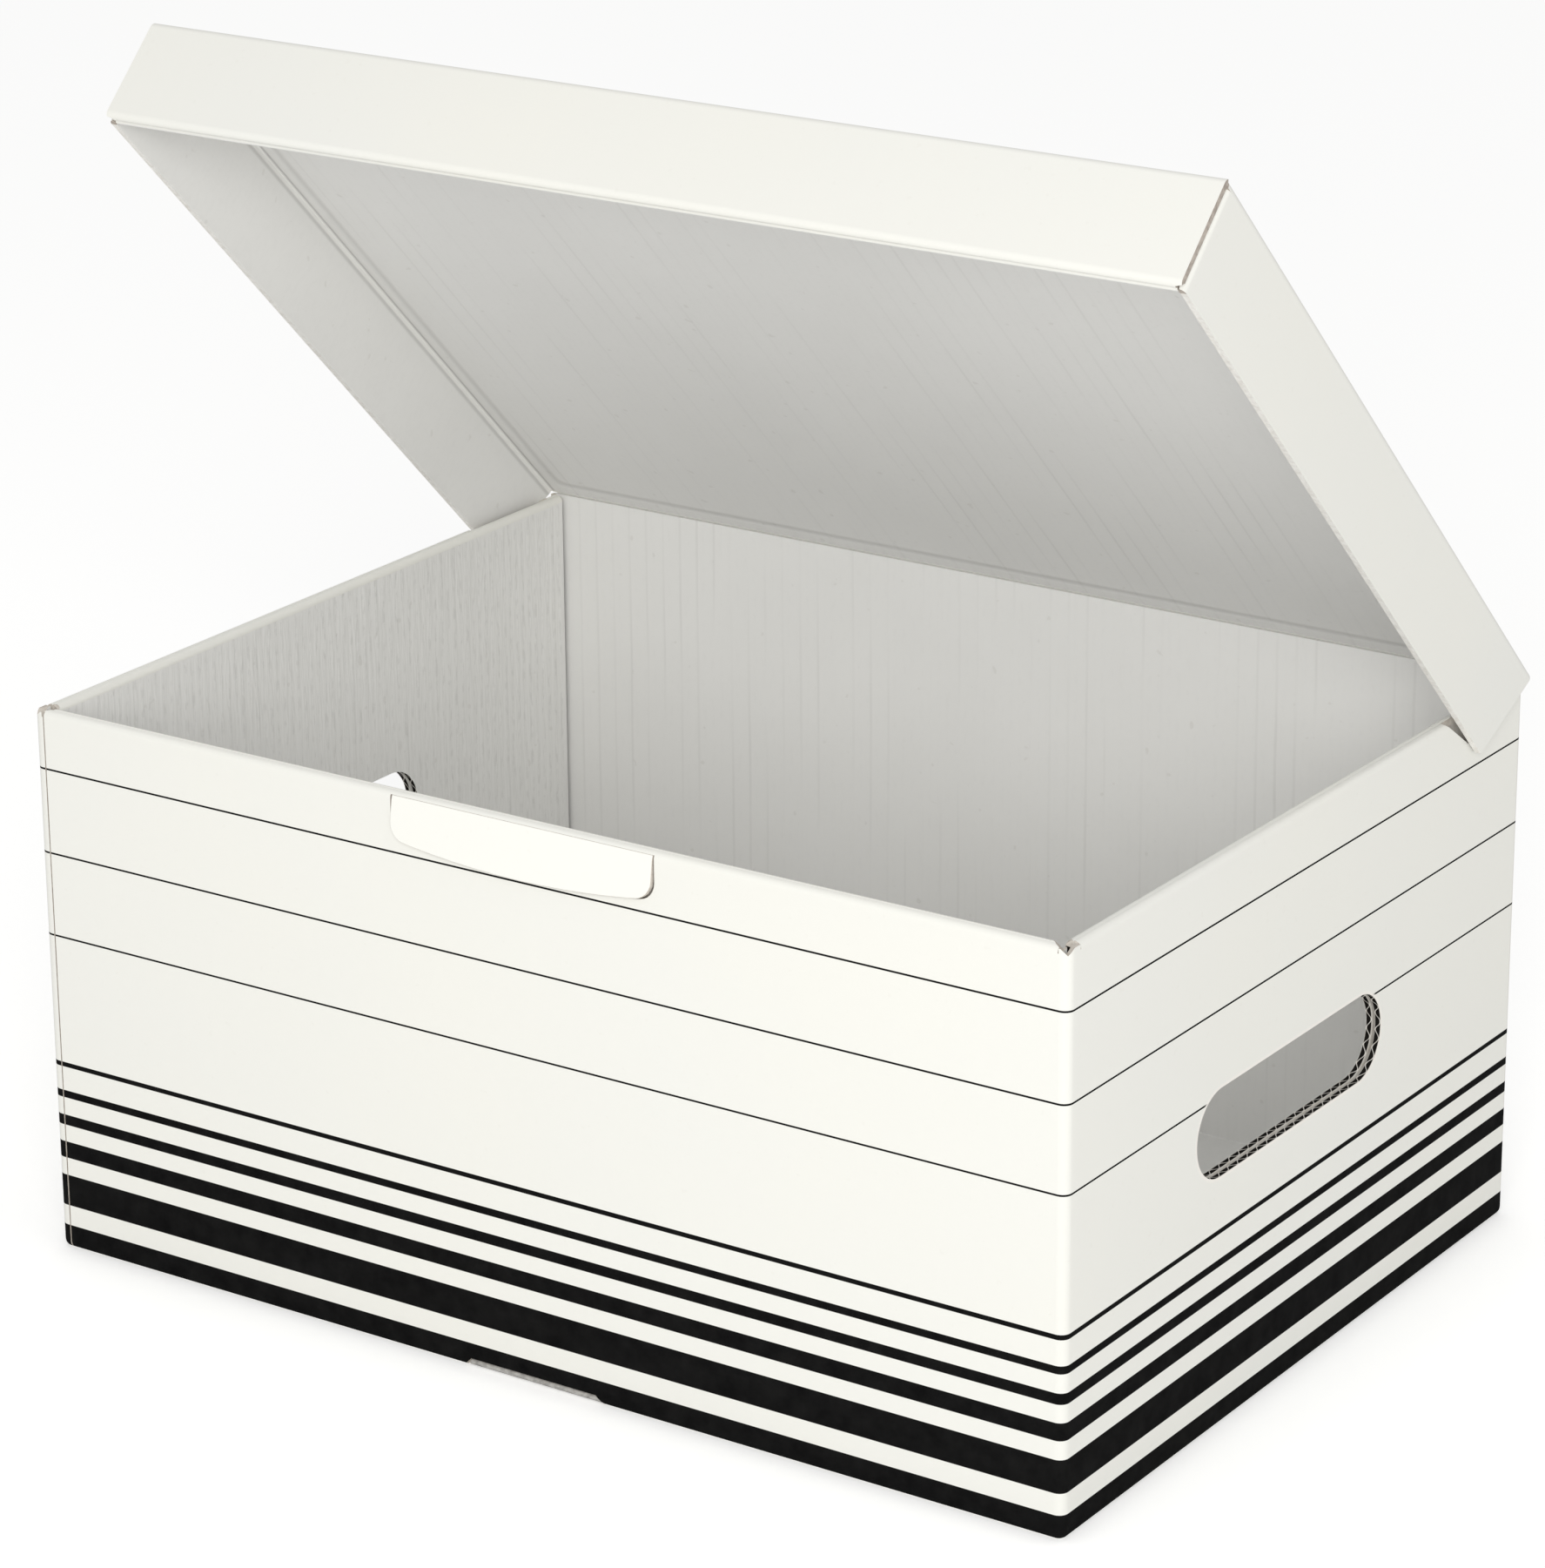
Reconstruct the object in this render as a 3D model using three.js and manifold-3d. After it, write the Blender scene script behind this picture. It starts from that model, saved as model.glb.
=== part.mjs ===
// An archive storage box folded from white-lined corrugated board, standing on its base.
// The side and front walls are double: the board rolls over at the top and comes down inside.
// A lid folds on the back wall. A small closing tab is cut in the front and stands out a little.
// Millimetres, +Z up, front facing -Y, origin on the floor under the middle of the box.
import * as THREE from 'three';
import { mergeVertices } from 'three/addons/utils/BufferGeometryUtils.js';
import Module from 'manifold-3d';

const wasm = await Module();
wasm.setup();

// Driving dimensions of the box
const WIDTH = 370;
const DEPTH = 272;
const HEIGHT = 180;
const BOARD = 2.0;
const LAYER_GAP = 1.0;
const CORNER_RADIUS = 3.0;
const BASE_RADIUS = 2.0;
const ROLL_RADIUS = 1.8;
const SEAM = 0.4;

// Maker's joint at the front left corner: the side's board turns in behind the front's cut edge
const JOINT_SETBACK = 2.2;
const JOINT_STEP = 1.2;
const JOINT_FLAP = 36;
const JOINT_FLAP_SHORT = 14;

// Handle holes in the two sides
const HANDLE_LENGTH = 111;
const HANDLE_HEIGHT = 28;
const HANDLE_CENTRE_Z = 94.8;
const HANDLE_FORWARD = 8;

// Notches where the rolled edges stop short of the front corners
const FRONT_ROLL_STOP = 5.2;
const SIDE_ROLL_STOP = 9.0;
const CORNER_DROP = 1.4;
const NOTCH_DEPTH = 4.2;
const NOTCH_HALF_WIDTH = 4.4;

// Slanted cut-back at the rear top of each side's outer layer
const RELIEF_RUN = 52;
const RELIEF_KNEE_RUN = 37;
const RELIEF_KNEE_DROP = 10.4;
const RELIEF_DROP = 18;

// Slot in the front's bottom fold, and the lock tab that shows in it
const SLOT_LENGTH = 51;
const SLOT_HEIGHT = 3.0;
const SLOT_TAPER = 2.5;
const SLOT_END_HEIGHT = 0.6;
const LOCK_RECESS = 0.7;
const LOCK_NOSE_RADIUS = 1.0;

// Closing tab cut in the front
const TAB_WIDTH = 93.5;
const TAB_DROP = 17.7;
const TAB_SAG = 3.6;
const TAB_CORNER = 5.0;
const TAB_OPENING = 8;
const TAB_SEAM = 0.4;

// Lid
const LID_OPENING = 45;
const LID_CLEARANCE = 0.7;
const LID_LIFT = 0.35;
const LID_FOLD_RADIUS = 2.4;
const FLAP_DEPTH = 35;
const FLAP_REAR_RUN = 12;
const FRONT_CLEARANCE = 2.8;
const CORNER_TAB_LENGTH = 42;
const CORNER_TAB_THICKNESS = 1.1;
const CORNER_TAB_GAP = 0.5;

// How finely curves are cut, how far cuts run past what they cut, and how far joined shapes meet
const FOLD_STEPS = 8;
const HANDLE_STEPS = 24;
const OVERSHOOT = 5;
const MEET = 0.1;
const WELD = 1e-5;

// Where the box's faces lie
const RIGHT = WIDTH / 2;
const FRONT = -DEPTH / 2;
const BACK = DEPTH / 2;
const WALL = 2 * BOARD + LAYER_GAP;
const TAB_FOLD_Z = HEIGHT - BOARD / 2;

// Where the closed lid's faces lie
const LID_AXIS_Y = BACK - BOARD / 2;
const LID_AXIS_Z = HEIGHT + LID_LIFT + BOARD / 2;
const LID_TOP = LID_AXIS_Z + BOARD / 2;
const LID_UNDER = LID_AXIS_Z - BOARD / 2;
const LID_SIDE = RIGHT + LID_CLEARANCE + BOARD;
const POCKET = CORNER_TAB_THICKNESS + CORNER_TAB_GAP;
const LID_INNER = FRONT - FRONT_CLEARANCE;
const LID_FRONT = LID_INNER - 2 * BOARD - POCKET;
const FLAP_END = LID_TOP - FLAP_DEPTH;

// Turns a closed three.js geometry into a solid, and a solid back into a geometry.
function solid(geometry) {
  const plain = geometry.index ? geometry.toNonIndexed() : geometry.clone();
  plain.deleteAttribute('normal');
  plain.deleteAttribute('uv');
  const merged = mergeVertices(plain, WELD);
  return new wasm.Manifold(new wasm.Mesh({
    numProp: 3,
    vertProperties: new Float32Array(merged.attributes.position.array),
    triVerts: new Uint32Array(merged.index.array),
  }));
}

function geometryOf(manifold) {
  const mesh = manifold.getMesh();
  const geometry = new THREE.BufferGeometry();
  geometry.setAttribute('position', new THREE.BufferAttribute(mesh.vertProperties, 3));
  geometry.setIndex(new THREE.BufferAttribute(mesh.triVerts, 1));
  geometry.computeVertexNormals();
  return geometry;
}

function union(...solids) {
  return solids.reduce((whole, next) => whole.add(next));
}

function polygon(points) {
  return new THREE.Shape(points.map(([a, b]) => new THREE.Vector2(a, b)));
}

const X = new THREE.Vector3(1, 0, 0);
const Y = new THREE.Vector3(0, 1, 0);
const Z = new THREE.Vector3(0, 0, 1);
const FORWARD = new THREE.Vector3(0, -1, 0);

// A section drawn on one plane and pulled along the axis across it.
function pull(shape, basis, start, length, steps) {
  const settings = { depth: length, bevelEnabled: false, curveSegments: steps };
  const geometry = new THREE.ExtrudeGeometry(shape, settings);
  geometry.applyMatrix4(new THREE.Matrix4().makeBasis(...basis));
  geometry.translate(start.x, start.y, start.z);
  return solid(geometry);
}

// Sections are drawn as (y, z) for alongX, (x, z) for alongY and (x, y) for upZ.
function alongX(shape, x0, x1, steps = FOLD_STEPS) {
  return pull(shape, [Y, Z, X], new THREE.Vector3(x0, 0, 0), x1 - x0, steps);
}

function alongY(shape, y0, y1, steps = FOLD_STEPS) {
  return pull(shape, [X, Z, FORWARD], new THREE.Vector3(0, y1, 0), y1 - y0, steps);
}

function upZ(shape, z0, z1, steps = FOLD_STEPS) {
  return pull(shape, [X, Y, Z], new THREE.Vector3(0, 0, z0), z1 - z0, steps);
}

function block(x0, x1, y0, y1, z0, z1) {
  const geometry = new THREE.BoxGeometry(x1 - x0, y1 - y0, z1 - z0);
  geometry.translate((x0 + x1) / 2, (y0 + y1) / 2, (z0 + z1) / 2);
  return solid(geometry);
}

// A rectangle whose four corners have their own radii: low left, low right, top right, top left.
function roundedRectangle(a0, a1, b0, b1, [r1, r2, r3, r4]) {
  const quarter = Math.PI / 2;
  const shape = new THREE.Shape();
  const corner = (a, b, r, turn) => {
    if (r > 0) shape.absarc(a, b, r, turn, turn + quarter, false);
    else shape.lineTo(a, b);
  };
  shape.moveTo(a0 + r1, b0);
  shape.lineTo(a1 - r2, b0);
  corner(a1 - r2, b0 + r2, r2, -quarter);
  shape.lineTo(a1, b1 - r3);
  corner(a1 - r3, b1 - r3, r3, 0);
  shape.lineTo(a0 + r4, b1);
  corner(a0 + r4, b1 - r4, r4, quarter);
  shape.lineTo(a0, b0 + r1);
  if (r1 > 0) shape.absarc(a0 + r1, b0 + r1, r1, Math.PI, Math.PI + quarter, false);
  return shape;
}

// The box seen from above, drawn this far inside its outer faces
function plan(inset) {
  const radius = Math.max(CORNER_RADIUS - inset, 0);
  return roundedRectangle(-RIGHT + inset, RIGHT - inset, FRONT + inset, BACK - inset,
    [radius, radius, radius, radius]);
}

// The outer form of the box, with rounded upright corners and a softly folded base
function envelope() {
  const base = [BASE_RADIUS, BASE_RADIUS, 0, 0];
  const across = roundedRectangle(-RIGHT, RIGHT, 0, HEIGHT + OVERSHOOT, base);
  const along = roundedRectangle(FRONT, BACK, 0, HEIGHT + OVERSHOOT, base);
  return upZ(plan(0), 0, HEIGHT)
    .intersect(alongY(across, FRONT, BACK))
    .intersect(alongX(along, -RIGHT, RIGHT));
}

// Floor and outer layer of all four walls
function outerLayer() {
  return upZ(plan(0), 0, HEIGHT).subtract(upZ(plan(BOARD), BOARD, HEIGHT + OVERSHOOT));
}

// The section of a roll-over wall: up the outer face, over the top and down inside to just above
// the floor. It starts at the outer face and goes inwards in the direction given by side.
function rollSection(outer, side) {
  const at = (n) => outer + side * n;
  const arc = (n, z, from, to) => {
    const points = [];
    for (let i = 0; i <= FOLD_STEPS; i += 1) {
      const turn = from + (to - from) * i / FOLD_STEPS;
      points.push([at(n + ROLL_RADIUS * Math.cos(turn)), z + ROLL_RADIUS * Math.sin(turn)]);
    }
    return points;
  };
  const shoulder = HEIGHT - ROLL_RADIUS;
  const foot = BOARD + SEAM;
  return polygon([
    [at(0), 0],
    ...arc(ROLL_RADIUS, shoulder, Math.PI, Math.PI / 2),
    ...arc(WALL - ROLL_RADIUS, shoulder, Math.PI / 2, 0),
    [at(WALL), foot],
    [at(WALL - BOARD), foot],
    [at(WALL - BOARD), HEIGHT - BOARD],
    [at(BOARD), HEIGHT - BOARD],
    [at(BOARD), 0],
  ]);
}

function rolledWalls() {
  const front = alongX(rollSection(FRONT, 1), -RIGHT + FRONT_ROLL_STOP, RIGHT - FRONT_ROLL_STOP);
  const start = FRONT + SIDE_ROLL_STOP;
  const end = BACK - BOARD - LAYER_GAP;
  const left = alongY(rollSection(-RIGHT, 1), start, end);
  const right = alongY(rollSection(RIGHT, -1), start, end);
  return union(front, left, right);
}

// At a front corner the board stands a little lower than the rolls, with a V cut in the fold.
function cornerNotch(side) {
  const inner = side * (RIGHT - FRONT_ROLL_STOP);
  const outer = side * (RIGHT + OVERSHOOT);
  const lowered = block(Math.min(inner, outer), Math.max(inner, outer),
    FRONT - OVERSHOOT, FRONT + SIDE_ROLL_STOP, HEIGHT - CORNER_DROP, HEIGHT + OVERSHOOT);
  const vee = polygon([
    [0, HEIGHT - NOTCH_DEPTH],
    [NOTCH_HALF_WIDTH, HEIGHT],
    [NOTCH_HALF_WIDTH, HEIGHT + OVERSHOOT],
    [-NOTCH_HALF_WIDTH, HEIGHT + OVERSHOOT],
    [-NOTCH_HALF_WIDTH, HEIGHT],
  ]);
  const reach = 2 * CORNER_RADIUS + OVERSHOOT;
  const wedge = alongY(vee, -reach, reach)
    .rotate([0, 0, side * 45])
    .translate([side * RIGHT, FRONT, 0]);
  return lowered.add(wedge);
}

// The side's joint flap lies between the two layers of the front.
function jointFlap() {
  const start = -RIGHT + BOARD / 2;
  return block(start, -RIGHT + JOINT_FLAP, FRONT + BOARD - MEET, FRONT + BOARD + LAYER_GAP + MEET,
    BOARD, HEIGHT - JOINT_FLAP_SHORT);
}

function jointStep() {
  return block(-RIGHT - OVERSHOOT, -RIGHT + JOINT_SETBACK, FRONT - OVERSHOOT, FRONT + JOINT_STEP,
    -OVERSHOOT, HEIGHT + OVERSHOOT);
}

function rearRelief() {
  const start = BACK - RELIEF_RUN;
  const rear = BACK + OVERSHOOT;
  const cut = polygon([
    [start, HEIGHT],
    [BACK - RELIEF_KNEE_RUN, HEIGHT - RELIEF_KNEE_DROP],
    [rear, HEIGHT - RELIEF_DROP],
    [rear, HEIGHT + OVERSHOOT],
    [start, HEIGHT + OVERSHOOT],
  ]);
  const deep = BOARD + LAYER_GAP;
  return union(
    alongX(cut, -RIGHT - OVERSHOOT, -RIGHT + deep),
    alongX(cut, RIGHT - deep, RIGHT + OVERSHOOT),
  );
}

function handleHoles() {
  const radius = HANDLE_HEIGHT / 2;
  const half = HANDLE_LENGTH / 2 - radius;
  const shape = new THREE.Shape();
  shape.absarc(half, 0, radius, -Math.PI / 2, Math.PI / 2, false);
  shape.absarc(-half, 0, radius, Math.PI / 2, 3 * Math.PI / 2, false);
  return alongX(shape, -RIGHT - OVERSHOOT, RIGHT + OVERSHOOT, HANDLE_STEPS)
    .translate([0, -HANDLE_FORWARD, HANDLE_CENTRE_Z]);
}

function lockSlot() {
  const half = SLOT_LENGTH / 2;
  const shape = polygon([
    [-half, -OVERSHOOT],
    [half, -OVERSHOOT],
    [half, SLOT_END_HEIGHT],
    [half - SLOT_TAPER, SLOT_HEIGHT],
    [-half + SLOT_TAPER, SLOT_HEIGHT],
    [-half, SLOT_END_HEIGHT],
  ]);
  return alongY(shape, FRONT - OVERSHOOT, FRONT + BOARD + LAYER_GAP);
}

// The rounded nose of the inner layer's lock tab, set back inside the slot
function lockTab() {
  const half = (SLOT_LENGTH - SLOT_TAPER) / 2;
  const radius = LOCK_NOSE_RADIUS;
  const section = roundedRectangle(FRONT + LOCK_RECESS, FRONT + WALL - BOARD / 2, SEAM / 2,
    SLOT_HEIGHT - SEAM, [radius, 0, 0, radius]);
  return alongX(section, -half, half);
}

// The closing tab's outline as seen from the front, hanging from its fold at z = 0. Its lower edge
// sags between two rounded corners, and the margin grows it into the window that it was cut from.
function tabOutline(margin) {
  const half = TAB_WIDTH / 2 + margin;
  const drop = TAB_DROP + margin;
  const inset = half - TAB_CORNER;
  const corner = -drop + TAB_SAG;
  const edge = -drop + TAB_SAG * (inset / half) ** 2;
  const shape = new THREE.Shape();
  shape.moveTo(-half, 0);
  shape.lineTo(-half, corner + TAB_CORNER);
  shape.quadraticCurveTo(-half, corner, -inset, edge);
  shape.quadraticCurveTo(0, -2 * drop - edge, inset, edge);
  shape.quadraticCurveTo(half, corner, half, corner + TAB_CORNER);
  shape.lineTo(half, 0);
  return shape;
}

// The tab stays joined to the rolled edge by its fold and is turned out of its window.
function closingTab() {
  const fold = new THREE.Shape();
  fold.absarc(0, 0, BOARD / 2, 0, 2 * Math.PI, false);
  return alongY(tabOutline(0), -BOARD / 2, BOARD / 2)
    .add(alongX(fold, -TAB_WIDTH / 2, TAB_WIDTH / 2))
    .rotate([-TAB_OPENING, 0, 0])
    .translate([0, FRONT + BOARD / 2, TAB_FOLD_Z]);
}

function tabWindow() {
  return alongY(tabOutline(TAB_SEAM), FRONT - OVERSHOOT, FRONT + BOARD + LAYER_GAP / 2)
    .translate([0, 0, TAB_FOLD_Z]);
}

// Body of the box: floor, back wall, and rolled-over front and side walls, all one folded sheet
function boxBody() {
  return outerLayer()
    .add(rolledWalls())
    .add(jointFlap())
    .intersect(envelope())
    .subtract(jointStep())
    .subtract(cornerNotch(1))
    .subtract(cornerNotch(-1))
    .subtract(rearRelief())
    .subtract(handleHoles())
    .subtract(lockSlot())
    .add(lockTab())
    .subtract(tabWindow())
    .add(closingTab());
}

// Lid, drawn closed: one panel with three flaps folded down
function lidShell() {
  const r = LID_FOLD_RADIUS;
  const below = FLAP_END - OVERSHOOT;
  const across = roundedRectangle(-LID_SIDE, LID_SIDE, below, LID_TOP, [0, 0, r, r]);
  const along = roundedRectangle(LID_FRONT, BACK, FLAP_END, LID_TOP, [0, 0, 0, r]);
  const above = roundedRectangle(-LID_SIDE, LID_SIDE, LID_FRONT, BACK, [r, r, 0, 0]);
  const outer = alongY(across, LID_FRONT, BACK)
    .intersect(alongX(along, -LID_SIDE, LID_SIDE))
    .intersect(upZ(above, FLAP_END, LID_TOP));
  const hollow = block(-LID_SIDE + BOARD, LID_SIDE - BOARD, LID_FRONT + BOARD, BACK + OVERSHOOT,
    below, LID_UNDER);
  return outer.subtract(hollow);
}

// The panel ends on its fold, and the side flaps' rear edges slant forward from there.
function rearEdge() {
  const far = BACK + OVERSHOOT;
  const below = FLAP_END - OVERSHOOT;
  const behind = polygon([
    [LID_AXIS_Y, LID_TOP + OVERSHOOT],
    [LID_AXIS_Y, LID_UNDER],
    [LID_AXIS_Y - FLAP_REAR_RUN, FLAP_END],
    [LID_AXIS_Y - FLAP_REAR_RUN, below],
    [far, below],
    [far, LID_TOP + OVERSHOOT],
  ]);
  return alongX(behind, -LID_SIDE - OVERSHOOT, LID_SIDE + OVERSHOOT);
}

function lidFold() {
  const bead = new THREE.Shape();
  bead.absarc(LID_AXIS_Y, LID_AXIS_Z, BOARD / 2, 0, 2 * Math.PI, false);
  return alongX(bead, -LID_SIDE + LID_FOLD_RADIUS, LID_SIDE - LID_FOLD_RADIUS);
}

// The front flap rolls under at its lower edge and comes back up inside as a second layer.
function frontRoll() {
  const half = LID_SIDE - BOARD - SEAM;
  const section = roundedRectangle(LID_FRONT, LID_INNER, FLAP_END, LID_UNDER - SEAM,
    [ROLL_RADIUS, ROLL_RADIUS, 0, 0]);
  const pocket = block(-LID_SIDE, LID_SIDE, LID_FRONT + BOARD, LID_INNER - BOARD,
    FLAP_END + BOARD, LID_TOP);
  return alongX(section, -half, half).subtract(pocket);
}

// Each side flap turns a corner at the front, and its tab is tucked in the front flap's pocket.
function cornerTab(side) {
  const rear = LID_INNER - BOARD + MEET;
  const inner = side * (LID_SIDE - CORNER_TAB_LENGTH);
  const outer = side * (LID_SIDE - BOARD / 2);
  return block(Math.min(inner, outer), Math.max(inner, outer), rear - CORNER_TAB_THICKNESS, rear,
    FLAP_END + BOARD + SEAM, LID_UNDER + MEET);
}

// The front flap's outer layer ends with a cut edge in front of the side flap's turned corner.
function cornerGap(side) {
  const start = LID_FRONT + BOARD;
  const inner = side * (LID_SIDE - BOARD);
  const outer = side * (LID_SIDE + OVERSHOOT);
  return block(Math.min(inner, outer), Math.max(inner, outer), start, start + CORNER_TAB_GAP,
    FLAP_END - OVERSHOOT, LID_UNDER - BOARD);
}

function lidBody() {
  return lidShell()
    .subtract(rearEdge())
    .add(lidFold())
    .add(frontRoll())
    .add(cornerTab(1))
    .add(cornerTab(-1))
    .subtract(cornerGap(1))
    .subtract(cornerGap(-1))
    .translate([0, -LID_AXIS_Y, -LID_AXIS_Z]);
}

function piece(name, manifold) {
  const material = new THREE.MeshStandardMaterial({ color: 0xf3f2ea, roughness: 0.85, metalness: 0 });
  const mesh = new THREE.Mesh(geometryOf(manifold), material);
  mesh.name = name;
  return mesh;
}

// The lid is turned open about its fold on the back wall.
const box = new THREE.Group();
box.add(piece('box_body', boxBody()));
const lidHinge = new THREE.Group();
lidHinge.position.set(0, LID_AXIS_Y, LID_AXIS_Z);
lidHinge.rotation.x = -THREE.MathUtils.degToRad(LID_OPENING);
lidHinge.add(piece('lid', lidBody()));
box.add(lidHinge);

export default box;
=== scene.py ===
import math

import bmesh
import bpy
from mathutils import Matrix, Vector


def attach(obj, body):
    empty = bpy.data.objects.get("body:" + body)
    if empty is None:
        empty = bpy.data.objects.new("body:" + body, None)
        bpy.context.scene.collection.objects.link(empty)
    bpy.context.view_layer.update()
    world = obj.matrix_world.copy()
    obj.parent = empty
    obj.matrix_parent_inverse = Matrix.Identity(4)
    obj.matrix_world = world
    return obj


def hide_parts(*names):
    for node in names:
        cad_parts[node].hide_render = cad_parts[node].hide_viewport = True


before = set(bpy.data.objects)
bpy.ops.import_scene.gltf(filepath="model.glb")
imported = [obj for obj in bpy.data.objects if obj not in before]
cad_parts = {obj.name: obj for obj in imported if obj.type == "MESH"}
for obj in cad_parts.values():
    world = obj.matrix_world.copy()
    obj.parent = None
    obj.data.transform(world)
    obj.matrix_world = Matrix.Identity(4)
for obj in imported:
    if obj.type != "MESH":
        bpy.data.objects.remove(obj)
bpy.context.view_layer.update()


# Camera
# The box is seen from its front right and from a little above, through a long lens. The angles,
# the distance and the lens come from a fit to the box's corners, edges and printed lines.
view_turn, view_height, view_roll = [math.radians(a) for a in (34.103, 19.786, -0.426)]
view_distance = 1.7324
view_target = Vector((-0.0039, 0.0, 0.1496))
lens_pixels, picture_height = 6425.3, 1801

ahead = Vector((-math.sin(view_turn) * math.cos(view_height),
                math.cos(view_turn) * math.cos(view_height),
                -math.sin(view_height)))
level = ahead.cross(Vector((0, 0, 1))).normalized()
upright = level.cross(ahead)
right_hand = math.cos(view_roll) * level + math.sin(view_roll) * upright
overhead = -math.sin(view_roll) * level + math.cos(view_roll) * upright
lens = bpy.data.cameras.new("camera")
lens.sensor_width = 36
lens.lens = lens_pixels / picture_height * lens.sensor_width
lens.clip_start, lens.clip_end = 0.01, 50
camera = bpy.data.objects.new("camera", lens)
turn = Matrix((right_hand, overhead, -ahead)).transposed()
camera.matrix_world = Matrix.Translation(view_target - ahead * view_distance) @ turn.to_4x4()
bpy.context.scene.collection.objects.link(camera)
bpy.context.scene.camera = camera


# Finish of the board's printed side
# The outside is white-lined board, matt and a little warm, with soft fibres and a trace of the
# flutes under it. The body carries black printed lines and stripes all the way round.
paper_gloss = 0.015
bump_depth = 0.001


class Tone:
    """A number or colour in a material's nodes, so that shading reads as sums and products."""

    def __init__(self, paint, socket):
        self.paint = paint
        self.socket = socket

    def sum(self, operation, a, b):
        return self.paint.maths(operation, a, b)

    def __add__(self, other):
        return self.sum("ADD", self, other)

    def __radd__(self, other):
        return self.sum("ADD", other, self)

    def __sub__(self, other):
        return self.sum("SUBTRACT", self, other)

    def __rsub__(self, other):
        return self.sum("SUBTRACT", other, self)

    def __mul__(self, other):
        return self.sum("MULTIPLY", self, other)

    def __rmul__(self, other):
        return self.sum("MULTIPLY", other, self)

    def __truediv__(self, other):
        return self.sum("DIVIDE", self, other)


class Paint:
    """One material, with its nodes made one call at a time."""

    def __init__(self, name):
        self.material = bpy.data.materials.new(name)
        self.material.use_nodes = True
        self.tree = self.material.node_tree
        self.tree.nodes.clear()

    def node(self, kind, settings=None, inputs=None, output=0):
        made = self.tree.nodes.new(kind)
        for key, value in (settings or {}).items():
            setattr(made, key, value)
        for key, value in (inputs or {}).items():
            if isinstance(value, Tone):
                self.tree.links.new(value.socket, made.inputs[key])
            else:
                made.inputs[key].default_value = value
        return Tone(self, made.outputs[output]) if made.outputs else None

    def place(self, turned=0.0, about=(0, 0, 0)):
        """Where a point of the piece lies, in metres, with the lid's tilt taken out."""
        place = self.node("ShaderNodeTexCoord", output="Object")
        if turned:
            place = self.node("ShaderNodeVectorMath", {"operation": "SUBTRACT"},
                              {0: place, 1: about})
            place = self.node("ShaderNodeMapping", None, {0: place, 2: (turned, 0, 0)})
        parts = [self.node("ShaderNodeSeparateXYZ", None, {0: place}, output=i) for i in range(3)]
        return place, parts

    def maths(self, operation, first, second=0.0):
        return self.node("ShaderNodeMath", {"operation": operation}, {0: first, 1: second})

    def clamp(self, value):
        return self.node("ShaderNodeMath", {"operation": "ADD", "use_clamp": True},
                         {0: value, 1: 0.0})

    def over(self, value, edge, soft):
        """0 below the edge and 1 above it, changing over the soft width."""
        return self.clamp((value - edge) / soft + 0.5)

    def between(self, value, low, high, soft, high_soft=None):
        """1 between the two edges and 0 outside them."""
        return self.over(value, low, soft) * (1 - self.over(value, high, high_soft or soft))

    def noise(self, vector, scale, detail=2.0, rough=0.5, stretch=None):
        if stretch:
            vector = self.node("ShaderNodeVectorMath", {"operation": "MULTIPLY"},
                               {0: vector, 1: stretch})
        return self.node("ShaderNodeTexNoise", None,
                         {"Vector": vector, "Scale": scale, "Detail": detail, "Roughness": rough})

    def wave(self, value, pitch):
        """A ripple from 0 to 1 that repeats at the pitch."""
        return self.maths("SINE", value * (2 * math.pi / pitch)) * 0.5 + 0.5

    def blend(self, amount, first, second):
        return self.node("ShaderNodeMix", {"data_type": "RGBA"}, {0: amount, 6: first, 7: second},
                         output=2)

    def finish(self, colour, roughness, height):
        """Closes the material. The height is in millimetres."""
        bump = self.node("ShaderNodeBump", None,
                         {"Strength": 1.0, "Distance": bump_depth, "Height": height},
                         output="Normal")
        surface = self.node("ShaderNodeBsdfPrincipled", None,
                            {"Base Color": colour, "Roughness": roughness, "Normal": bump,
                             "Specular IOR Level": paper_gloss})
        self.node("ShaderNodeOutputMaterial", None, {"Surface": surface})
        return self.material


board = 0.002
side_face = 0.185
flute_pitch = 0.0070
paper_rough, fibre_rough = 0.62, 0.12
white_warm = (0.900, 0.893, 0.838, 1)
white_cool = (0.880, 0.880, 0.845, 1)
fibre_brown = (0.62, 0.58, 0.50, 1)
ink = (0.0018, 0.0018, 0.0022, 1)
ink_grain = 0.015
line_heights, line_width, line_blur = (0.1611, 0.1336, 0.1064), 0.00062, 0.00008
stripes = ((0.0625, 0.0641), (0.0520, 0.0545), (0.0426, 0.0461), (0.0313, 0.0369),
           (0.0149, 0.0254), (0.0004, 0.0081))
stripe_blur = 0.0001
hole_forward, hole_height = -0.008, 0.0948
hole_length, hole_width = 0.111, 0.028
rim_highlight_cream = (0.945, 0.915, 0.865, 1)
rim_width, rim_blur, rim_highlight_strength = 0.0009, 0.0007, 0.9


def hole_distance(paint, y, z):
    """Where a point of a side lies by its hand hole: along the hole's middle line, past the
    line's end, and away from the line."""
    straight = (hole_length - hole_width) / 2
    forward = y - hole_forward
    held = paint.maths("MAXIMUM", paint.maths("MINIMUM", forward, straight), -straight)
    past, rise = forward - held, z - hole_height
    return held, past, paint.maths("SQRT", past * past + rise * rise)


def hole_rim_highlight(paint, x, y, z):
    """A painted highlight: a pale cream ring round a hand hole's rim, laid over the print."""
    _, _, away = hole_distance(paint, y, z)
    on_side = paint.over(paint.maths("ABSOLUTE", x), side_face - board, 0.0005)
    return (1 - paint.over(away, hole_width / 2 + rim_width, rim_blur)) * on_side


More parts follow.
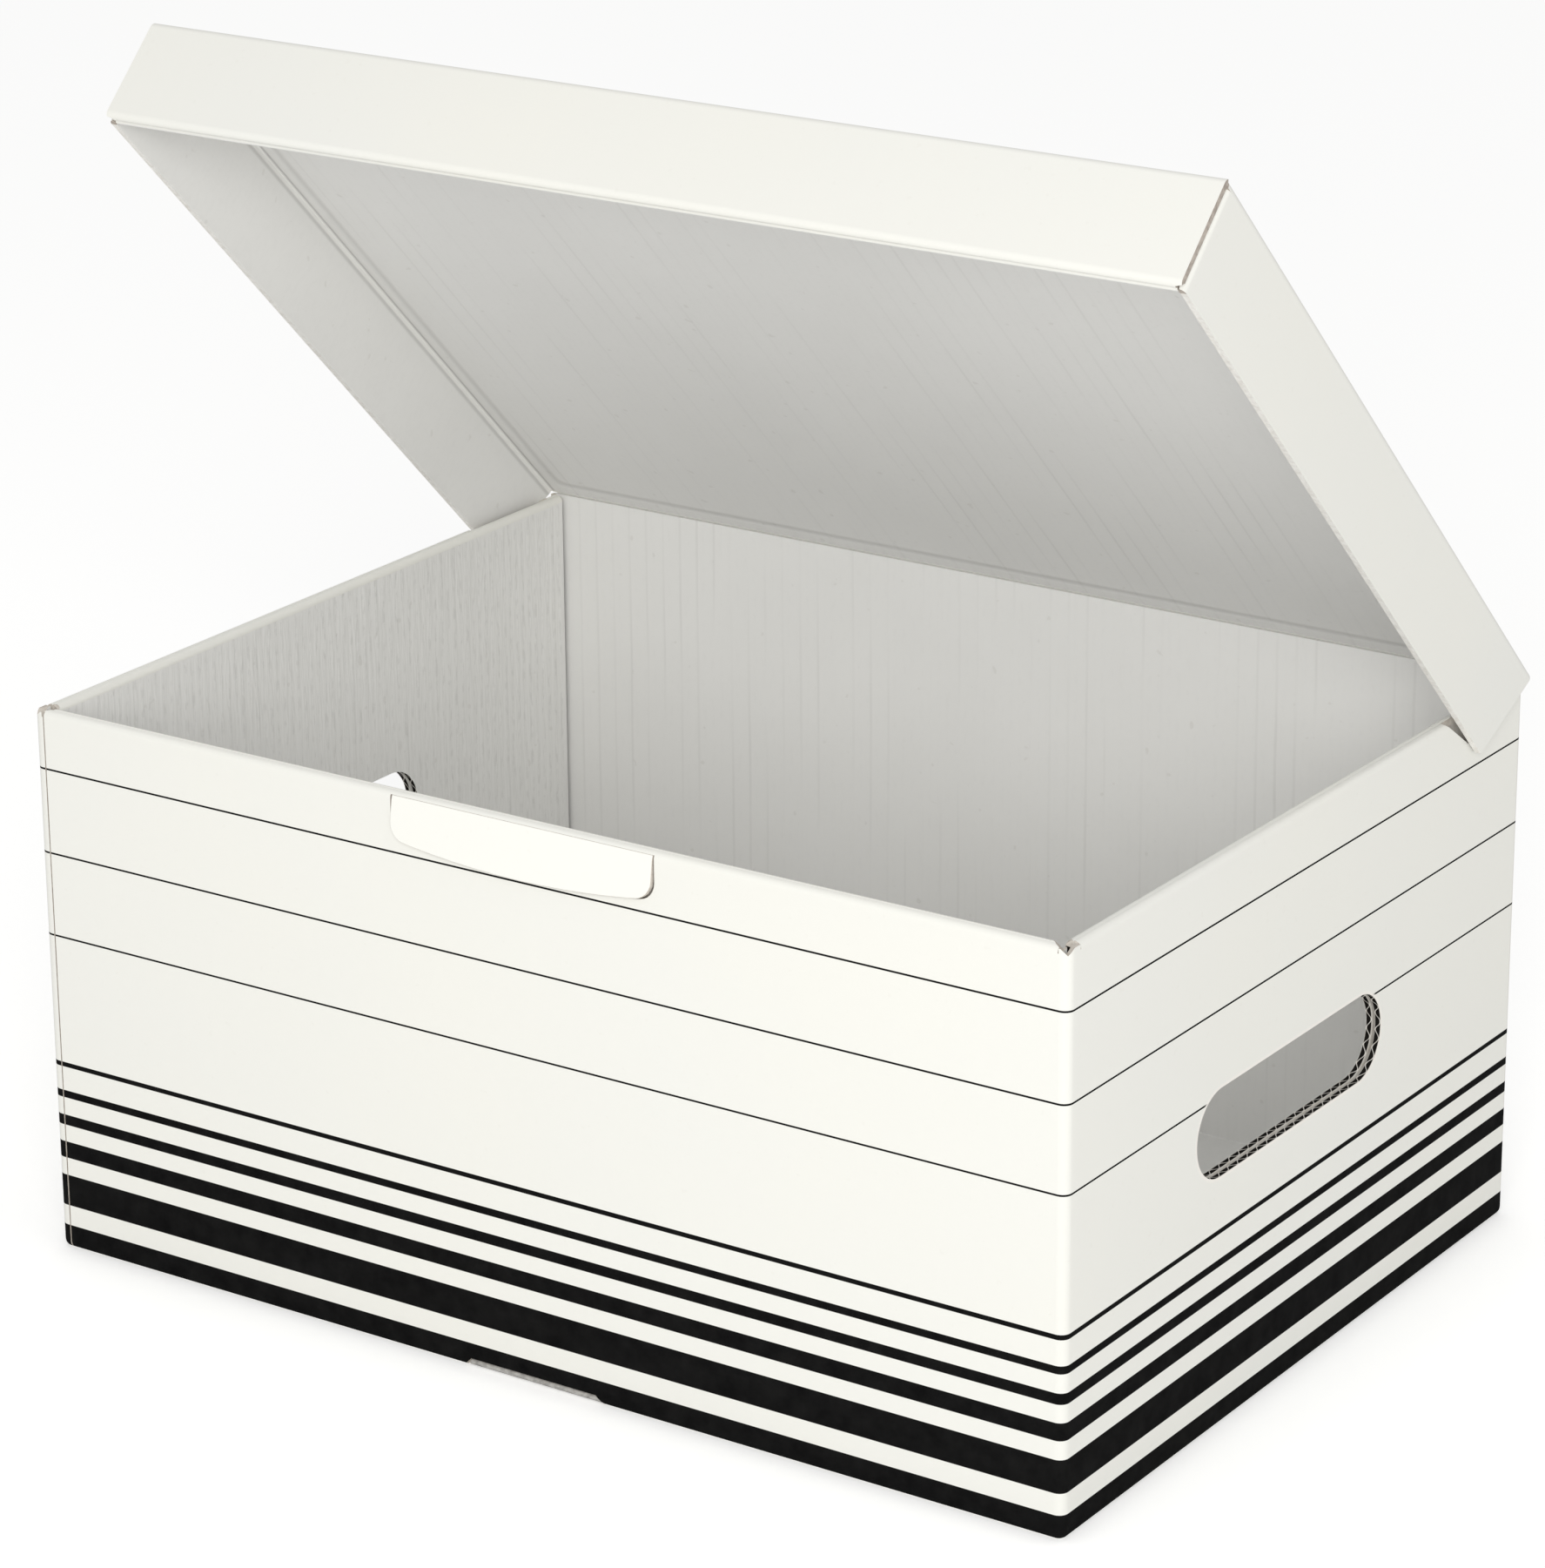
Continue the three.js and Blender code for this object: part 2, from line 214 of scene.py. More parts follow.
def white_board(name, printed, turned=0.0, about=(0, 0, 0), painted_light_gain=1.0):
    """White-lined board, whose flutes cross the x axis. The painted light gain makes its white
    paler: painted light, for a piece meant to look more brightly lit.
    """
    warm, cool = [tuple(painted_light_gain * c for c in tone[:3]) + (1,) for tone in (white_warm, white_cool)]
    paint = Paint(name)
    place, (x, y, z) = paint.place(turned, about)
    cloud = paint.noise(place, 9.0, 3.0, 0.55)
    fibre = paint.noise(place, 900.0, 3.0, 0.6)
    colour = paint.blend(paint.clamp(cloud * 1.6 - 0.3), warm, cool)
    speck = paint.over(paint.noise(place, 420.0, 1.0), 0.74, 0.05)
    colour = paint.blend(speck * 0.05, colour, fibre_brown)
    if printed:
        bands = [(line - line_width / 2, line + line_width / 2, line_blur)
                 for line in line_heights]
        bands += [(low, high, stripe_blur) for low, high in stripes]
        mask = sum(paint.between(z, low, high, blur) for low, high, blur in bands)
        press = paint.noise(place, 160.0, 3.0, 0.6)
        inked = paint.clamp(mask) * (1 - ink_grain + press * ink_grain)
        colour = paint.blend(inked, colour, ink)
        # Painted highlight: a pale cream ring round each hand hole.
        colour = paint.blend(hole_rim_highlight(paint, x, y, z) * rim_highlight_strength, colour, rim_highlight_cream)
    height = paint.wave(x, flute_pitch) * 0.006 + fibre * 0.012 + cloud * 0.25
    return paint.finish(colour, paper_rough + fibre * fibre_rough, height)


# Finish of the board's inner side
# The inner liner is a light warm grey. The flutes show through it as faint lines one pitch apart,
# and the paper is puckered into small upright wrinkles where the wall was rolled over.
liner_light = (0.885, 0.882, 0.866, 1)
liner_dark = (0.850, 0.847, 0.830, 1)
wrinkle_shade = (0.42, 0.415, 0.40, 1)
flute_shade = (0.36, 0.355, 0.34, 1)
speck_brown = (0.40, 0.37, 0.32, 1)
painted_ridge_highlight = (0.93, 0.925, 0.90, 1)
flute_drift = 0.0012
score_turn = 0.006
liner_rough = 0.72


def grey_liner(name, across, wrinkles, turned=0.0, about=(0, 0, 0), creases=0.0):
    """Across is the axis that crosses the flutes, 0 for x and 1 for y. Creases is half the
    width of a lid whose folds are creased."""
    paint = Paint(name)
    place, (x, y, z) = paint.place(turned, about)
    stretch = (1, 0.16, 1) if turned else (1, 1, 0.16)
    wander = (x, y)[across] + paint.noise(place, 14.0, 2.0) * flute_drift
    groove = paint.over(paint.wave(wander, flute_pitch), 0.955, 0.06)
    broken = paint.clamp(paint.noise(place, 55.0, 2.0, 0.6, stretch) * 4.2 - 1.9)
    line = groove * broken
    cloud = paint.noise(place, 11.0, 3.0, 0.6)
    fibre = paint.noise(place, 700.0, 3.0, 0.6)
    pucker = paint.noise(place, 340.0, 2.0, 0.55, stretch)
    column = paint.over(paint.wave(wander, flute_pitch / 2), 0.55, 0.5)
    tick = paint.over(paint.noise(place, 560.0, 2.0, 0.6, (1, 1, 0.42)), 0.56, 0.16) * column
    colour = paint.blend(paint.clamp(cloud * 1.8 - 0.4), liner_light, liner_dark)
    colour = paint.blend(tick * min(1.0, wrinkles * 3) * 0.16, colour, wrinkle_shade)
    colour = paint.blend(line * 0.11, colour, flute_shade)
    speck = paint.over(paint.noise(place, 240.0, 1.0), 0.76, 0.04)
    colour = paint.blend(speck * 0.12, colour, speck_brown)
    height = (paint.wave(wander, flute_pitch) * 0.03 - line * 0.05 + pucker * wrinkles
              + fibre * 0.014 + cloud * 0.35)
    # Along the lid's creased folds: a painted highlight on each fold's ridge, and painted shade
    # in the gutter inboard of it, along the flaps' tops and along the score lines.
    if creases:
        inboard = creases - paint.maths("ABSOLUTE", x)
        on_panel = paint.over(z, -0.0024, 0.0006)
        on_flap = 1 - paint.over(inboard, 0.0006, 0.0004)
        flap_top = paint.between(z, -0.0036, -0.0024, 0.0008, 0.0006) * on_flap
        ridge = paint.between(inboard, -0.0006, 0.0006, 0.0005) * on_panel
        gutter = paint.between(inboard, 0.0008, 0.0017, 0.0005, 0.0008) * on_panel
        nearest = paint.node("ShaderNodeMath", {"operation": "SMOOTH_MIN"},
                             {0: inboard, 1: 0 - y, 2: score_turn})
        score = paint.between(nearest, 0.0054, 0.0078, 0.0016) * on_panel
        shade = paint.clamp(gutter * 0.42 + flap_top * 0.34 + score * 0.22)
        colour = paint.blend(shade, paint.blend(ridge * 0.8, colour, painted_ridge_highlight), flute_shade)
        height = height + (ridge - gutter) * 0.25 - score * 0.22
    return paint.finish(colour, liner_rough + fibre * fibre_rough, height)


# Finish of the board's cut edges
# A cut shows brownish paper with the wavy fluting between its two liners. The hollows between the
# flutes are painted near black: painted shade.
edge_paper = (0.66, 0.615, 0.555, 1)
edge_worn = (0.44, 0.375, 0.32, 1)
edge_pale = (0.78, 0.75, 0.70, 1)
edge_liner = (0.80, 0.78, 0.74, 1)
hollow_shade = (0.012, 0.011, 0.010, 1)
layer_pitch = 0.003
cut_pitch, cut_drift = 0.0056, 0.0024
edge_rough = 0.85


def raw_edge(name, paper=edge_paper, wear_and_shade=edge_worn, pale=edge_pale):
    """A plain cut along the flutes: streaked paper, darker in streaks of the second tone, which
    is wear on most edges and painted shade on the lock tab.
    """
    paint = Paint(name)
    place, _ = paint.place()
    streak = paint.noise(place, 520.0, 2.0, 0.6)
    soft = paint.noise(place, 60.0, 2.0)
    colour = paint.blend(paint.clamp(streak * 2.4 - 0.9), paper, wear_and_shade)
    colour = paint.blend(soft * 0.5, colour, pale)
    return paint.finish(colour, edge_rough, streak * 0.08)


def fluted_edge(name):
    """The rim of a hand hole, where the cut runs across the flutes of both layers of the side."""
    paint = Paint(name)
    place, (x, y, z) = paint.place()
    held, past, _ = hole_distance(paint, y, z)
    angle = paint.maths("ARCTAN2", paint.maths("ABSOLUTE", past), hole_height - z)
    way = paint.over(past, 0.0, 0.0002) * 2 - 1
    round_rim = held + way * angle * (hole_width / 2)
    round_rim = round_rim + paint.noise(place, 130.0, 2.0) * cut_drift
    depth = side_face - paint.maths("ABSOLUTE", x)
    share = paint.maths("MODULO", depth, layer_pitch) / board
    middle = paint.wave(round_rim, cut_pitch) * 0.74 + 0.13
    flute = 1 - paint.over(paint.maths("ABSOLUTE", share - middle), 0.085, 0.05)
    liners = (1 - paint.over(share, 0.10, 0.05)) + paint.over(share, 0.93, 0.05)
    paper = paint.clamp(flute + liners)
    streak = paint.noise(place, 520.0, 2.0, 0.6)
    sheet = paint.blend(paint.clamp(streak * 2.0 - 0.6), edge_liner, edge_paper)
    # The hollows between flutes and liners get painted shade, near black.
    colour = paint.blend(paper, hollow_shade, sheet)
    return paint.finish(colour, edge_rough, paper * 0.5 + streak * 0.05)


body_white = white_board("body_white", True)
wall_liner = grey_liner("wall_liner", 0, 0.05)
side_liner = grey_liner("side_liner", 1, 0.45)
cut_edge = raw_edge("cut_edge")
hole_edge = fluted_edge("hole_edge")


# Box body
# One folded sheet of corrugated board makes the floor and the walls. The front and the sides
# roll over at the top and come down inside as a second layer. The back is a single layer.
right = side_face
wide, deep, tall = 2 * right, 0.272, 0.180
front, back = -deep / 2, deep / 2
wall = 0.005
touch, near = 1e-6, 1e-5
inner_side, cut_side, rolled_side = 1, 2, 3
corner_radius, base_radius, roll_radius = 0.003, 0.0024, 0.0021
front_stop, side_stop, rear_stop, slit = 0.0034, 0.0060, 0.003, 0.0003
corner_top = tall - 0.0006
shoulder = tall - roll_radius
inner_foot = 0.0024
roll_dip = 0.0003
sharp_angle = math.radians(50)


def fold(bm, edges, centre, axis, degrees, steps=5):
    """Bends a sheet's free edges round a fold line, and gives back the new free edges."""
    made = bmesh.ops.spin(bm, geom=edges, cent=centre, axis=axis, angle=math.radians(degrees),
                          steps=steps, use_merge=False, use_normal_flip=False)
    return [e for e in made["geom_last"] if isinstance(e, bmesh.types.BMEdge)]


def run(bm, edges, way):
    """Carries a sheet's free edges straight on, and gives back the new free edges."""
    made = bmesh.ops.extrude_edge_only(bm, edges=edges)["geom"]
    bmesh.ops.translate(bm, verts=[v for v in made if isinstance(v, bmesh.types.BMVert)], vec=way)
    return [e for e in made if isinstance(e, bmesh.types.BMEdge)]


def free_edges(bm, test):
    """A sheet's free edges whose two ends both pass the test."""
    return [e for e in bm.edges if e.is_boundary and all(test(v.co) for v in e.verts)]


def cut_across(bm, point, normal):
    """Splits a sheet's faces along a plane, so that one part can be folded without the other."""
    bmesh.ops.bisect_plane(bm, geom=bm.verts[:] + bm.edges[:] + bm.faces[:], plane_co=point,
                           plane_no=normal, dist=touch)


def face_outwards(bm, test, direction):
    """Turns all faces the same way, so that one that passes the test looks in the direction."""
    bmesh.ops.recalc_face_normals(bm, faces=bm.faces[:])
    sample = next(f for f in bm.faces if test(f.calc_center_median()))
    if sample.normal.dot(Vector(direction)) < 0:
        bmesh.ops.reverse_faces(bm, faces=bm.faces[:])


def as_object(name, bm, materials):
    mesh = bpy.data.meshes.new(name)
    bm.to_mesh(mesh)
    bm.free()
    piece = bpy.data.objects.new(name, mesh)
    for material in materials:
        mesh.materials.append(material)
    bpy.context.scene.collection.objects.link(piece)
    return piece


def settle(piece):
    """Applies the piece's modifiers to its mesh."""
    graph = bpy.context.evaluated_depsgraph_get()
    made = bpy.data.meshes.new_from_object(piece.evaluated_get(graph))
    piece.modifiers.clear()
    piece.data = made


def thicken(piece, thickness=board):
    """Gives a sheet its board: its back takes the next material and its rim the one after."""
    sheet = piece.modifiers.new("thickness", "SOLIDIFY")
    sheet.thickness = thickness
    sheet.offset = -1
    sheet.use_even_offset = True
    sheet.material_offset = inner_side
    sheet.material_offset_rim = cut_side
    settle(piece)


def carve(piece, cutter):
    """Cuts the cutter's shape out of the piece, whose cut faces take the cutter's material."""
    tool = piece.modifiers.new("cut", "BOOLEAN")
    tool.operation = "DIFFERENCE"
    tool.solver = "EXACT"
    tool.use_self = True
    tool.material_mode = "TRANSFER"
    tool.object = cutter
    settle(piece)
    bpy.data.objects.remove(cutter)


def soften(piece, width=0.00018, segments=2):
    """Takes the sharpness off the cut edges, and shades flat faces flat and folds round."""
    edge = piece.modifiers.new("soft_edges", "BEVEL")
    edge.width = width
    edge.segments = segments
    edge.limit_method = "ANGLE"
    edge.angle_limit = sharp_angle
    settle(piece)
    piece.data.shade_smooth()
    piece.data.set_sharp_from_angle(angle=sharp_angle)
    facing = piece.modifiers.new("flat_faces", "WEIGHTED_NORMAL")
    facing.mode = "FACE_AREA"
    facing.weight = 50
    facing.keep_sharp = True
    settle(piece)


bm = bmesh.new()
bmesh.ops.create_cube(bm, size=1.0, matrix=Matrix.Translation((0, 0, shoulder / 2))
                      @ Matrix.Diagonal((wide, deep, shoulder, 1)))
bmesh.ops.delete(bm, geom=[f for f in bm.faces if f.calc_center_median().z > shoulder - near],
                 context="FACES_ONLY")
uprights = [e for e in bm.edges if abs(e.verts[0].co.z - e.verts[1].co.z) > 0.1]
bmesh.ops.bevel(bm, geom=uprights, offset=corner_radius, segments=6, profile=0.5, affect="EDGES",
                material=-1)
hem = [e for e in bm.edges if max(v.co.z for v in e.verts) < touch]
bmesh.ops.bevel(bm, geom=hem, offset=base_radius, segments=4, profile=0.5, affect="EDGES",
                material=-1)
for x in (front_stop, front_stop + slit):
    cut_across(bm, (x - right, 0, 0), (1, 0, 0))
    cut_across(bm, (right - x, 0, 0), (1, 0, 0))
for y in (front + side_stop, front + side_stop + slit,
          back - rear_stop, back - rear_stop - slit):
    cut_across(bm, (0, y, 0), (0, 1, 0))

front_reach = right - front_stop - slit + near
side_low, side_high = front + side_stop + slit - near, back - rear_stop - slit + near
front_top = free_edges(bm, lambda v: v.y < front + near and abs(v.x) < front_reach)
side_tops = [(s, free_edges(bm, lambda v, s=s: s * v.x > right - near
                            and side_low < v.y < side_high))
             for s in (-1, 1)]
front_corners = free_edges(bm, lambda v: v.y < front + side_stop + near
                           and abs(v.x) > right - front_stop - near)
rear_tops = free_edges(bm, lambda v: v.y > back - rear_stop - near)
outside = set(bm.faces)

across_top = wall - 2 * roll_radius
edges = fold(bm, front_top, (0, front + roll_radius, shoulder), (1, 0, 0), -90)
edges = run(bm, edges, (0, across_top / 2, -roll_dip))
edges = run(bm, edges, (0, across_top / 2, roll_dip))
edges = fold(bm, edges, (0, front + wall - roll_radius, shoulder), (1, 0, 0), -90)
run(bm, edges, (0, 0, inner_foot - shoulder))
for s, top in side_tops:
    edges = fold(bm, top, (s * (right - roll_radius), 0, shoulder), (0, 1, 0), -90 * s)
    edges = run(bm, edges, (-s * across_top / 2, 0, -roll_dip))
    edges = run(bm, edges, (-s * across_top / 2, 0, roll_dip))
    edges = fold(bm, edges, (s * (right - wall + roll_radius), 0, shoulder), (0, 1, 0), -90 * s)
    run(bm, edges, (0, 0, inner_foot - shoulder))
run(bm, front_corners, (0, 0, corner_top - shoulder))
run(bm, rear_tops, (0, 0, tall - shoulder))
face_outwards(bm, lambda c: c.y < front + near and abs(c.x) < 0.1, (0, -1, 0))
for face in bm.faces:
    middle = face.calc_center_median()
    if middle.z < shoulder - 0.01 and face not in outside:
        on_side = abs(middle.x) > right - wall - 1e-4
        face.material_index = rolled_side if on_side else inner_side
box_sheet = as_object("box_sheet", bm, [body_white, wall_liner, cut_edge, side_liner, hole_edge,
                                        cut_edge])
thicken(box_sheet)
for face in box_sheet.data.polygons:
    at_rear_rim = face.center.y > back - board and face.center.z > tall - 0.0001
    if face.material_index == cut_side and at_rear_rim:
        face.material_index = inner_side


# Hand holes, notches and slots
# They are die cut in the flat board: a hole in each side, a V at each front corner, a slanted
# relief at each side's rear top, a slot in the base fold and the closing tab's window. The slit
# is where the front's edge is glued over the side's flap.
relief_run, relief_knee, relief_heel, relief_end = 0.052, 0.037, 0.0345, 0.008
relief_drop, relief_slope, relief_inset = 0.0104, 0.0006, 0.0023
notch_reach, overshoot = 0.011, 0.005
notch_depth, notch_half = 0.0026, 0.0026
slot_long, slot_high, slot_taper, slot_end = 0.051, 0.003, 0.0025, 0.0006
slit_place, slit_width, slit_depth = 0.0038, 0.00045, 0.0011
tab_wide, tab_drop, tab_sag, tab_round, tab_seam = 0.0935, 0.0166, 0.0036, 0.005, 0.0005
tab_fold, tab_crease = 0.179, 0.0014
window_start, window_depth = 0.003, 0.0055


def block(x0, x1, y0, y1, z0, z1, material):
    """A cutter between two limits on each axis."""
    bm = bmesh.new()
    size = Matrix.Diagonal((x1 - x0, y1 - y0, z1 - z0, 1))
    place = Matrix.Translation(((x0 + x1) / 2, (y0 + y1) / 2, (z0 + z1) / 2))
    bmesh.ops.create_cube(bm, size=1.0, matrix=place @ size)
    return as_object("cutter", bm, [material])


def prism(outline, start, way, material):
    """A cutter: a flat outline, given as its corners, carried along a straight way."""
    bm = bmesh.new()
    face = bm.faces.new([bm.verts.new(Vector(start) + Vector(corner)) for corner in outline])
    made = bmesh.ops.extrude_face_region(bm, geom=[face])["geom"]
    bmesh.ops.translate(bm, verts=[v for v in made if isinstance(v, bmesh.types.BMVert)], vec=way)
    bmesh.ops.recalc_face_normals(bm, faces=bm.faces[:])
    return as_object("cutter", bm, [material])


bm = bmesh.new()
bmesh.ops.create_cube(bm, size=1.0, matrix=Matrix.Translation((0, hole_forward, hole_height))
                      @ Matrix.Diagonal((wide + 0.02, hole_length, hole_width, 1)))
ends = [e for e in bm.edges if abs(e.verts[0].co.x - e.verts[1].co.x) > 0.1]
bmesh.ops.bevel(bm, geom=ends, offset=hole_width / 2 - 0.00001, segments=14, profile=0.5,
                affect="EDGES", material=-1)
carve(box_sheet, as_object("cutter", bm, [hole_edge]))

for s in (-1, 1):
    bm = bmesh.new()
    corners = ((0, -notch_depth), (notch_half, 0), (notch_half, overshoot),
               (-notch_half, overshoot), (-notch_half, 0))
    face = bm.faces.new([bm.verts.new((x, -notch_reach, tall + z)) for x, z in corners])
    made = bmesh.ops.extrude_face_region(bm, geom=[face])["geom"]
    bmesh.ops.translate(bm, verts=[v for v in made if isinstance(v, bmesh.types.BMVert)],
                        vec=(0, 2 * notch_reach, 0))
    bmesh.ops.rotate(bm, verts=bm.verts[:], cent=(0, 0, 0),
                     matrix=Matrix.Rotation(math.radians(45) * s, 3, "Z"))
    bmesh.ops.translate(bm, verts=bm.verts[:], vec=(s * right, front, 0))
    bmesh.ops.recalc_face_normals(bm, faces=bm.faces[:])
    carve(box_sheet, as_object("cutter", bm, [cut_edge]))

    start = s * (right - relief_inset)
    outline = ((0, -relief_run, 0), (0, -relief_knee, -relief_drop),
               (0, -relief_heel, -relief_drop - relief_slope), (0, -relief_end, 0),
               (0, -relief_end, overshoot), (0, -relief_run, overshoot))
    carve(box_sheet, prism(outline, (start, back, tall), (s * 0.01, 0, 0), cut_edge))

half = slot_long / 2
outline = ((-half, 0, -overshoot), (half, 0, -overshoot), (half, 0, slot_end),
           (half - slot_taper, 0, slot_high), (slot_taper - half, 0, slot_high),
           (-half, 0, slot_end))
carve(box_sheet, prism(outline, (0, front - overshoot, 0), (0, overshoot + board + 0.0004, 0),
                       cut_edge))
carve(box_sheet, block(-right + slit_place, -right + slit_place + slit_width, front - overshoot,
                       front + slit_depth, -overshoot, tall - 0.0005, cut_edge))


def tab_shape(margin):
    """The closing tab's outline on a sheet in the front's plane, hanging from z = 0."""
    width, drop = tab_wide + 2 * margin, tab_drop + margin
    bm = bmesh.new()
    bmesh.ops.create_grid(bm, x_segments=12, y_segments=2, size=0.5,
                          matrix=Matrix.Diagonal((width, drop, 1, 1)))
    bmesh.ops.rotate(bm, verts=bm.verts[:], cent=(0, 0, 0),
                     matrix=Matrix.Rotation(math.pi / 2, 3, "X"))
    bmesh.ops.translate(bm, verts=bm.verts[:], vec=(0, 0, -drop / 2))
    for v in bm.verts:
        if v.co.z < -drop + near:
            v.co.z += tab_sag * (2 * v.co.x / width) ** 2
        elif v.co.z < -near:
            v.co.z = -tab_crease
    lower = [v for v in bm.verts if v.co.z < -drop / 2 and abs(v.co.x) > width / 2 - near]
    bmesh.ops.bevel(bm, geom=lower, offset=tab_round, segments=6, profile=0.5, affect="VERTICES",
                    material=-1)
    return bm


bm = tab_shape(tab_seam)
bmesh.ops.translate(bm, verts=bm.verts[:], vec=(0, front - window_start, tab_fold))
window = as_object("cutter", bm, [cut_edge])
depth = window.modifiers.new("depth", "SOLIDIFY")
depth.thickness = window_depth
depth.offset = 1 if window.data.polygons[0].normal.y > 0 else -1
settle(window)
carve(box_sheet, window)
soften(box_sheet)
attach(box_sheet, "body")
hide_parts("box_body")


# Closing tab
# A tongue of the front's own board, cut free on three sides. It stays joined to the rolled edge
# along its top and is bent a few degrees out of its window. The lid's front flap covers it.
tab_opening, tab_board, tab_lead = 8, 0.0017, 0.0003
bm = tab_shape(0)
bmesh.ops.rotate(bm, verts=bm.verts[:], cent=(0, 0, 0),
                 matrix=Matrix.Rotation(math.radians(-tab_opening), 3, "X"))
bmesh.ops.translate(bm, verts=bm.verts[:], vec=(0, front, tab_fold))
for v in bm.verts:
    if v.co.z > tab_fold - 1e-4:
        v.co.y += tab_lead
face_outwards(bm, lambda c: True, (0, -1, 0))
# The tab's white is made a little paler than the front's: painted light, for the tab tilted up
# towards the lamp.
tab_white_painted_lit = white_board("tab_white_painted_lit", False, painted_light_gain=1.06)
closing_tab = as_object("closing_tab", bm, [tab_white_painted_lit, wall_liner, cut_edge])
thicken(closing_tab, tab_board)
soften(closing_tab, 0.00022, 3)
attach(closing_tab, "body")


# Lock tab
# The front's inner layer ends in a tab of the same board that locks in the base fold, and its
# bent, rubbed nose shows a little behind the slot's edge. Its grey raw paper is painted darker,
# with near-black streaks: painted shade for the inside of the slot.
lock_half = (slot_long - slot_taper) / 2
lock_bend = 0.0009
nose, heel, sole, crown = front + 0.0010, front + 0.004, 0.0002, 0.0021
bm = bmesh.new()
lock_middle = Matrix.Translation((0, (nose + heel) / 2, (sole + crown) / 2))
bmesh.ops.create_cube(bm, size=1.0, matrix=lock_middle
                      @ Matrix.Diagonal((2 * lock_half, heel - nose, crown - sole, 1)))
bend = [e for e in bm.edges if max(v.co.y for v in e.verts) < nose + touch
        and abs(e.verts[0].co.x - e.verts[1].co.x) > 0.01]
bmesh.ops.bevel(bm, geom=bend, offset=lock_bend, segments=4, profile=0.5, affect="EDGES",
                material=-1)
# Dark grey paper with near-black streaks: grey raw edge darkened with painted shade from the
# slot.
lock_tab_shaded_paper = raw_edge("lock_tab_shaded_paper", (0.46, 0.45, 0.43, 1), (0.10, 0.095, 0.09, 1),
                      (0.66, 0.65, 0.63, 1))
lock_tab = as_object("lock_tab", bm, [lock_tab_shaded_paper])
soften(lock_tab, 0.0001, 1)
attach(lock_tab, "body")


# Lid
# The same sheet goes on as a panel with three flaps folded down. The side flaps turn in at the
# front, and the front flap rolls under and comes back up inside, over their corner tabs.
lid_open = 45
axis_y, axis_z = back - board / 2, tall + 0.00135
lid_top = axis_z + board / 2
lid_half = right + 0.0007 + board
lid_front = front - 0.0084
lid_inner = front - 0.0028
flap_depth, flap_slant, lid_round = 0.035, 0.012, 0.0024
flap_end = lid_top - flap_depth
corner_fold, corner_place = 0.0022, lid_front + 0.0046
corner_tab, corner_rise = 0.040, board + 0.0006
lid_dip, lid_gap, lid_ease = 0.0005, 0.0004, 0.0002

bm = bmesh.new()
panel_half, panel_front = lid_half - lid_round, lid_front + lid_round
panel_middle = Matrix.Translation((0, (panel_front + axis_y) / 2, lid_top))
bmesh.ops.create_grid(bm, x_segments=1, y_segments=1, size=0.5, matrix=panel_middle
                      @ Matrix.Diagonal((2 * panel_half, axis_y - panel_front, 1, 1)))
cut_across(bm, (0, corner_place, 0), (0, 1, 0))
front_fold = free_edges(bm, lambda v: v.y < panel_front + touch)
side_folds = [(s, free_edges(bm, lambda v, s=s: s * v.x > panel_half - touch))
              for s in (-1, 1)]
edges = fold(bm, front_fold, (0, panel_front, lid_top - lid_round), (1, 0, 0), 90)
edges = run(bm, edges, (0, 0, flap_end + roll_radius - lid_top + lid_round))
edges = fold(bm, edges, (0, lid_front + roll_radius, flap_end + roll_radius), (1, 0, 0), 90)
flat = lid_inner - lid_front - 2 * roll_radius
edges = run(bm, edges, (0, flat / 2, lid_dip))
edges = run(bm, edges, (0, flat / 2, -lid_dip))
front_faces = set(bm.faces)
edges = fold(bm, edges, (0, lid_inner - roll_radius, flap_end + roll_radius), (1, 0, 0), 90)
run(bm, edges, (0, 0, lid_top - board - lid_gap - flap_end - roll_radius))
inner_layer = set(bm.faces) - front_faces
for v in bm.verts:
    if v.co.y < lid_front + 0.001 and abs(v.co.x) > panel_half - touch:
        v.co.x = math.copysign(lid_half - lid_ease, v.co.x)
for s, edges in side_folds:
    edges = fold(bm, edges, (s * panel_half, 0, lid_top - lid_round), (0, 1, 0), 90 * s)
    edges = [e for e in edges if max(v.co.y for v in e.verts) > corner_place + near]
    run(bm, edges, (0, 0, flap_end - lid_top + lid_round))
    turned = free_edges(bm, lambda v, s=s: s * v.x > lid_half - touch
                        and abs(v.y - corner_place) < touch and v.z < lid_top - lid_round + touch)
    cut = [e for e in turned if abs(e.verts[0].co.z - e.verts[1].co.z) > 0.01]
    edges = fold(bm, cut, (s * (lid_half - corner_fold), corner_place, 0), (0, 0, 1), -90 * s)
    ends = run(bm, edges, (-s * corner_tab, 0, 0))
    low = {v for e in edges + ends for v in e.verts if v.co.z < flap_end + touch}
    bmesh.ops.translate(bm, verts=list(low), vec=(0, 0, corner_rise))
for v in bm.verts:
    if v.co.y > axis_y - touch and v.co.z < flap_end + touch:
        v.co.y -= flap_slant
face_outwards(bm, lambda c: c.z > lid_top - touch, (0, 0, 1))
for face in bm.faces:
    if face in inner_layer:
        face.material_index = inner_side
tilt = Matrix.Rotation(math.radians(-lid_open), 3, "X")
bmesh.ops.rotate(bm, verts=bm.verts[:], cent=(0, axis_y, axis_z), matrix=tilt)
tilt_back = math.radians(lid_open)
lid_axis = (0, axis_y, axis_z)
lid_white = white_board("lid_white", False, tilt_back, lid_axis)
lid_liner = grey_liner("lid_liner", 0, 0.05, tilt_back, lid_axis, lid_half - board)
